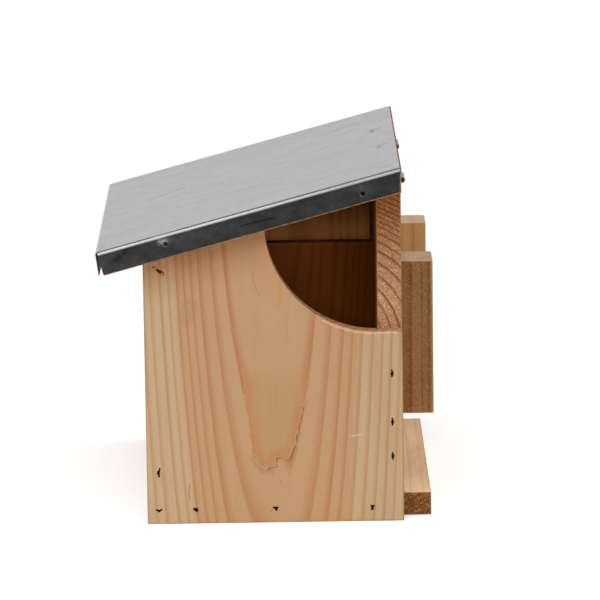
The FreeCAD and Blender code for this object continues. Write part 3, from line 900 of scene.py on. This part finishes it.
# Other marks: thin dark lines, ochre streaks, a soft dark smudge, pale lines and dark dots; and, under the
# lifted grain's lower edge, a painted shadow.
marks_and_flake_shadow = [
    ([((-16.6, 218), (-16, 212.6), (-14.5, 204.8), (-11.2, 198.6))], 0.45, 0.3, (158, 116, 80), 0.55),
    ([((5.8, 213.1), (5.7, 189.7))], 1.8, 1.2, (196, 142, 76), 0.5),
    ([((-5.2, 202.9), (-5.2, 196.8))], 1.4, 1.0, (198, 146, 84), 0.45),
    ([((-71, 192), (-74, 179))], 8.0, 5.0, (160, 122, 88), 0.28),
    ([((-19.5, 57), (-15.5, 49.5), (-10, 45), (-3, 44.5))], 2.2, 2.2, (160, 116, 76), 0.40),
    ([((64.7, 74.7), (70.7, 75.9), (75.9, 76.7))], 0.3, 0.7, (226, 196, 156), 0.6),
    ([((42, 176.2), (55, 170.2), (70, 165.8), (84, 164.6), (104, 164.9))],
     0.7, 1.4, (226, 192, 152), 0.6),
    ([((-73.6, 34.6), (-74.1, 28), (-73.9, 21.4))], 0.45, 0.3, (140, 98, 62), 0.7),
    ([((33.2, 70.3),), ((4.3, 36.2),), ((47.8, 84.6),), ((-47.1, 46.7),)], 0.55, 0.2, (118, 82, 56), 0.7),
]
near_marks = haze + below_flake + staple_marks + nail_marks + marks_and_flake_shadow


# Ring numbers at measured distances from the pith, in millimetres


def counted(before, radii, after=()):
    """Growth whose rings each end just past a measured radius."""
    return before + [(radius, number + 0.94) for number, radius in enumerate(radii)] + list(after)


def even_growth(rings):
    """Growth at one rate, to so many rings at 300 mm."""
    return [(0, 0), (300, rings)]


near_growth = counted(
    [(0, 0), (44.6, 0.5)], (48.4, 58, 67.8, 74, 79.8, 85.4, 92.1, 98.5, 106.8, 114, 121, 140))
near_growth_beyond = counted(
    [(0, 0), (48, 0.5)], (52.9, 64.4, 73.5, 80.7, 88, 96.4, 104, 110.9, 118, 126, 148))
back_growth = counted(
    [(0, 0), (43, 0.3)], (48.5, 56.5, 64.2, 73.7, 83.5, 91.9, 98.8, 105.4, 111.1, 114.8, 118.4, 122, 126,
                          129.5, 133, 137), [(260, 46)])
batten_growth = [(0, 0), (84, 0.05), (87.5, 0.5), (91.2, 1.0), (95.6, 1.45), (96.9, 2.0), (98.8, 2.45),
                 (101.4, 3.0), (108, 4.0), (180, 14)]


# Materials of the boards

eave = on_lid(0, 0, 0).dot(LID_UP) / MM
lid_end = max(v.co.dot(LID_ALONG) for v in NODES["lid_board"].data.vertices) / MM
near_panel = dict(grain=Z, pith=(-3, -109), lean=(0, -0.114), growth=near_growth, seed=3.0,
                  growth_beyond=near_growth_beyond, early=(192, 152, 113), late=(178, 124, 82), warp=1.2,
                  uneven=0.12)
timbers = {
    # Its tints paint shade: darker over the 40 mm under the eave, and a little darker towards the rear.
    "opening_side_panel": timber(
        "pine, opening side", "opening_side_panel", sap=(82, 90, (196, 166, 130), (184, 139, 94)),
        end=((176, 126, 88), (146, 98, 62)), marks=near_marks,
        tints=((LID_UP, eave - 42, eave - 2, (232, 220, 207)), (REARWARD, 25, 95, (249, 249, 246))),
        **near_panel),
    # Its tones are paler than the other boards': painted light on its inside face, seen through the opening;
    # its inside tone paints shade.
    "closed_side_panel": timber(
        "pine, closed side", "closed_side_panel", Z, (22, 205), (0.02, 0.03), even_growth(50), 11.0,
        early=(234, 190, 146), late=(213, 160, 114), inside_shade=(255, 208, 162)),
    "front_board": timber(
        "pine, front", "front_board", Y, (-40, 70), (0, 0.05), even_growth(46), 17.0,
        early=(196, 158, 120), late=(184, 136, 96)),
    # Its end grain is tinted darker towards the top: painted shade under the lid.
    "back_board": timber(
        "pine, back", "back_board", Y, (47.3, 153.2), (0.01, 0.0), back_growth, 23.0,
        early=(196, 158, 120), late=(182, 134, 94), end=((184, 137, 99), (98, 36, 8)), end_line=2.0,
        speckle=0.85, warp=1.2, uneven=0.3, end_tints=((UPWARD, 185, 290, (214, 180, 146)),)),
    "floor_board": timber(
        "pine, floor", "floor_board", Y, (20, -70), (0.03, 0.0), even_growth(50), 29.0),
    # Its tones are darker than the other boards' and its inside tone stronger: painted shade inside the box;
    # its tint, darker towards the rear, is painted shade too.
    "divider_board": timber(
        "pine, divider", "divider_board", Z, (5, 34), (0.02, -0.08), even_growth(40), 31.0,
        early=(150, 107, 68), late=(130, 86, 51), line=0.8, inside_shade=(245, 190, 138),
        tints=((REARWARD, -20, 88, (216, 212, 206)),)),
    # Its tint darkens the rear end of the board: painted shade.
    "lid_board": timber(
        "pine, lid", "lid_board", Y, (-20, 190), (0.02, 0.04), even_growth(46), 37.0,
        early=(190, 144, 100), late=(170, 118, 76), inside_shade=(255, 255, 255),
        tints=((LID_ALONG, lid_end - 1.5, lid_end - 0.3, (156, 128, 98)),)),
    "rear_batten_opening_side": timber(
        "sawn pine, near batten", "rear_batten_opening_side", Z, (62, -40), (0.004, 0), batten_growth, 41.0,
        early=(144, 104, 64), late=(117, 65, 19), end=((200, 172, 150), (170, 132, 106)), coarse=0.46,
        warp=0.8, uneven=0.1, speckle=0.4, edge=0.9, edge_tone=(206, 170, 130),
        tints=((REARWARD, 119, 134, (240, 242, 242)),)),
    "rear_batten_closed_side": timber(
        "sawn pine, far batten", "rear_batten_closed_side", Z, (60, 150), (0.01, 0), even_growth(40), 43.0,
        early=(200, 158, 108), late=(180, 132, 84), end=((230, 205, 184), (210, 178, 150)), coarse=0.25,
        speckle=0.35, tints=((REARWARD, 118, 128, (240, 238, 228)),)),
    "rear_ledge_board": timber(
        "sawn pine, ledge", "rear_ledge_board", Y, (150, -30), (0.01, 0), even_growth(60), 47.0,
        early=(250, 219, 180), late=(232, 194, 152), end=((122, 76, 40), (100, 58, 28)), coarse=0.95,
        speckle=0.44),
}
for node, material in timbers.items():
    dress(node, material)


# Metal pieces

sheet = zinc_sheet("zinc-coated roof sheet")
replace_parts(make_piece("roof_sheet_worn", roof_sheet(), sheet, "lid"), "roof_sheet")
hinge_steel = plated_steel("zinc-plated hinge steel", (140, 138, 136), (98, 95, 93), 3.0, 0.2)
# The pins are darker than the hinge steel: painted shade in the recessed ends of the barrels.
pin_steel = plated_steel("dark pin steel", (66, 58, 52), (38, 32, 28), 4.0, 0.4)
nail_steel = plated_steel("bare nail steel", (36, 32, 30), (20, 18, 17), 5.0, 0.5)
roof_nail_steel = plated_steel("bruised nail steel", (66, 66, 66), (24, 24, 24), 7.0, 0.42)
for node in NODES:
    if "hinge" in node and "screws" not in node:
        dress(node, pin_steel if "pin" in node else hinge_steel)
    elif "nails" in node or "staples" in node or "screws" in node:
        dress(node, nail_steel)
hammered = make_piece("roof_nails_hammered", roof_nails(), roof_nail_steel, "lid")
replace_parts(hammered, "roof_nails")


# Lifted grain, and fibres torn up round the fasteners

lifted = timber("pine, lifted grain", "opening_side_panel", marks=haze,
                torn=((185, 146, 104), (186, 132, 89)), **near_panel)
make_piece("opening_side_torn_grain", torn_grain(), lifted, "box")
above, leftward = math.pi / 2, math.pi
near_covers = [
    (-100, 12, dict(cover=0.75, cover_at=above)),
    (-68, 12, dict(cover=0.5, cover_at=above + 0.4)),
    (0, 12, dict(cover=0.55, cover_at=-above - 0.9)),
    (83, 12, dict(cover=0.6, cover_at=-0.6)),
    (-100, 45, dict(cover=0.2, long=0.42, size=1.9)),
    (100, 57, dict(cover=0.9, cover_at=leftward)),
    (100, 87, dict(cover=0.95, cover_at=leftward)),
    (100, 129, dict(cover=0.85, cover_at=leftward)),
]
for name, node, axis, side, board, seed, shapes in (
    ("opening_side_nail_scars", "opening_side_nails", Y, -1, "opening_side_panel", 20, near_covers),
    ("closed_side_nail_scars", "closed_side_nails", Y, 1, "closed_side_panel", 40, ()),
    ("front_nail_scars", "divider_nails", X, -1, "front_board", 60, ()),
    ("back_nail_scars", "divider_nails", X, 1, "back_board", 70, ()),
    ("ledge_nail_scars", "ledge_nails", X, 1, "rear_ledge_board", 80, ()),
):
    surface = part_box(board)[0 if side < 0 else 1][axis]
    grain_slot = "rough_pine" if board == "rear_ledge_board" else "pine"
    make_piece(name, nail_scars(node, axis, side, surface, seed, shapes), timbers[board], "box")
make_piece("staple_lips", staple_scars(), timbers["opening_side_panel"], "box")
